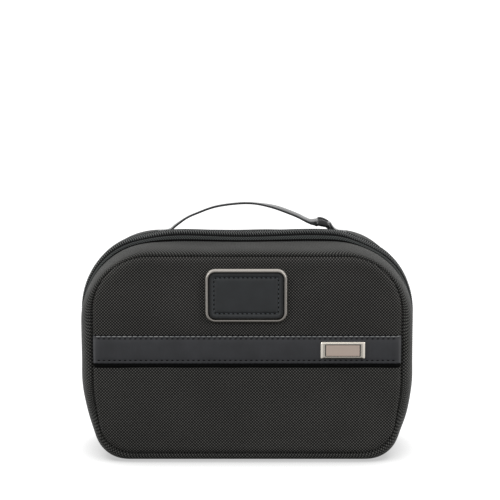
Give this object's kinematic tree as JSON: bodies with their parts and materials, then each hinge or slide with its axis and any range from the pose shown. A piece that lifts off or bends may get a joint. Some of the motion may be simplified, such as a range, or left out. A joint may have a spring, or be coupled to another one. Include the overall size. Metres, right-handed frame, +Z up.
{
  "type": "toiletry bag",
  "caption": "Soft rectangular toiletry bag that stands on its base, opens like a book along a zip over the top, with a top handle strap, a leather band and a framed patch.",
  "frame": {"origin": "centre of the base, on the surface that the bag stands on", "axes": "+X across the front to the right, +Y from the front panel to the back, +Z up"},
  "size_m": [0.268, 0.1041, 0.198],
  "materials": {
    "ballistic_nylon": "coarse basket weave, matt with a faint sheen",
    "gusset_nylon": "coarse basket weave, matt",
    "foam": "closed cell foam sheet",
    "lining": "smooth plain weave lining",
    "binding": "ribbed binding tape",
    "zip_tape": "fine herringbone tape",
    "zip_teeth": "moulded nylon coil",
    "elastic": "ribbed elastic",
    "leather": "fine grain, semi-matt",
    "strap_leather": "fine grain with painted edges",
    "frame_metal": "gunmetal plated, bevelled and polished",
    "plate_metal": "satin nickel plated, bevelled",
    "backing_metal": "plain steel sheet",
    "dark_metal": "glossy black plated zinc"
  },
  "bodies": {
    "rear_half": {"back_panel": "ballistic_nylon", "rear_gusset": "gusset_nylon", "rear_foam": "foam", "rear_lining": "lining", "rear_seam_binding": "binding", "rear_zip_tape": "zip_tape", "rear_zip_teeth": "zip_teeth", "rear_zip_stops": "dark_metal", "rear_pocket": "lining", "rear_pocket_elastic": "elastic", "base_hinge_strip": "binding", "handle_left_end": "strap_leather", "handle_right_end": "strap_leather"},
    "front_half": {"front_panel": "ballistic_nylon", "front_gusset": "gusset_nylon", "front_foam": "foam", "front_lining": "lining", "front_seam_binding": "binding", "front_zip_tape": "zip_tape", "front_zip_teeth": "zip_teeth", "front_zip_stops": "dark_metal", "front_pocket": "lining", "front_pocket_elastic": "elastic", "leather_band": "leather", "patch_frame": "frame_metal", "leather_patch": "leather", "patch_backing_plate": "backing_metal", "name_plate": "plate_metal", "name_plate_inlay": "plate_metal", "name_plate_backing": "backing_metal"},
    "handle": {"handle_strap": "strap_leather", "handle_ring": "dark_metal", "handle_ring_tab": "strap_leather"},
    "slider": {"zip_slider": "dark_metal"},
    "pull": {"zip_pull": "dark_metal"}
  },
  "joints": [
    {"name": "front_half_open", "type": "hinge", "parent": "rear_half", "child": "front_half", "pos_m": [0, 0, -0.00015], "axis": [1, 0, 0], "range_deg": [0, 180]},
    {"name": "handle_swing", "type": "hinge", "parent": "rear_half", "child": "handle", "pos_m": [0, 0.022, 0.1822], "axis": [1, 0, 0], "range_deg": [-40, 40]},
    {"name": "slider_run", "type": "slide", "parent": "rear_half", "child": "slider", "axis": [0.5241, 0, 0.8517], "range_m": [0, 0.02]},
    {"name": "pull_swing", "type": "hinge", "parent": "slider", "child": "pull", "pos_m": [0.11648, 0, 0.01866], "axis": [0, -1, 0], "range_deg": [-15, 130]}
  ]
}
